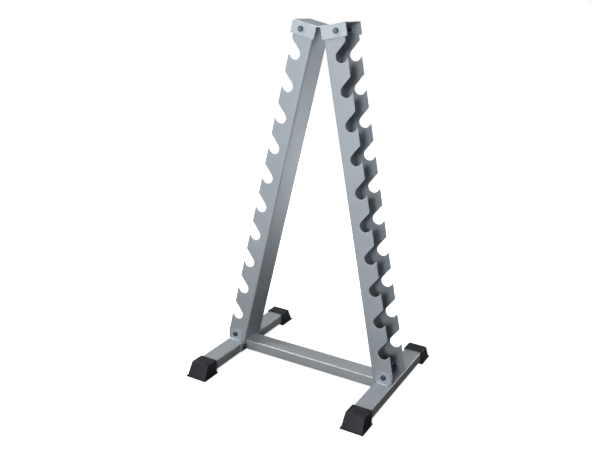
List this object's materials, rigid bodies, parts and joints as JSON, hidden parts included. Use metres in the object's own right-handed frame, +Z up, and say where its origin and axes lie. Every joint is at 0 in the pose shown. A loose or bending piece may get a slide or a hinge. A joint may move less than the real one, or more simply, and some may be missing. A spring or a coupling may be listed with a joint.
{
  "type": "dumbbell rack",
  "caption": "A-frame rack of two leaning notched channels on two tube feet, which holds pairs of small dumbbells by their grips in slanted seats.",
  "frame": {"origin": "on the floor under the middle of the rack", "axes": "+X to the right across the rack, +Y to the back, +Z up; the front is at -Y"},
  "size_m": [0.681, 0.614, 1.2371],
  "materials": {
    "upright_paint": "silver metallic paint, semi-gloss",
    "bracket_paint": "silver metallic paint, semi-gloss",
    "foot_paint": "silver metallic paint, semi-gloss",
    "cap_plastic": "fine moulded texture",
    "bolt_steel": "dark zinc plate",
    "zinc_steel": "bright zinc plate"
  },
  "bodies": {
    "root": {"left_upright": "upright_paint", "right_upright": "upright_paint", "left_saddle": "bracket_paint", "right_saddle": "bracket_paint", "top_bracket": "bracket_paint", "left_end_plate": "bracket_paint", "right_end_plate": "bracket_paint", "left_foot": "foot_paint", "right_foot": "foot_paint", "crossbar": "foot_paint", "front_left_cap": "cap_plastic", "rear_left_cap": "cap_plastic", "front_right_cap": "cap_plastic", "rear_right_cap": "cap_plastic", "left_plate_bolts": "bolt_steel", "right_plate_bolts": "bolt_steel", "left_saddle_bolts": "bolt_steel", "right_saddle_bolts": "bolt_steel", "left_top_bolts": "bolt_steel", "right_top_bolts": "bolt_steel", "left_weld_nuts": "zinc_steel", "right_weld_nuts": "zinc_steel", "left_saddle_washers": "zinc_steel", "right_saddle_washers": "zinc_steel", "left_saddle_nuts": "zinc_steel", "right_saddle_nuts": "zinc_steel", "left_top_washers": "zinc_steel", "right_top_washers": "zinc_steel", "left_top_nuts": "zinc_steel", "right_top_nuts": "zinc_steel"}
  },
  "joints": []
}
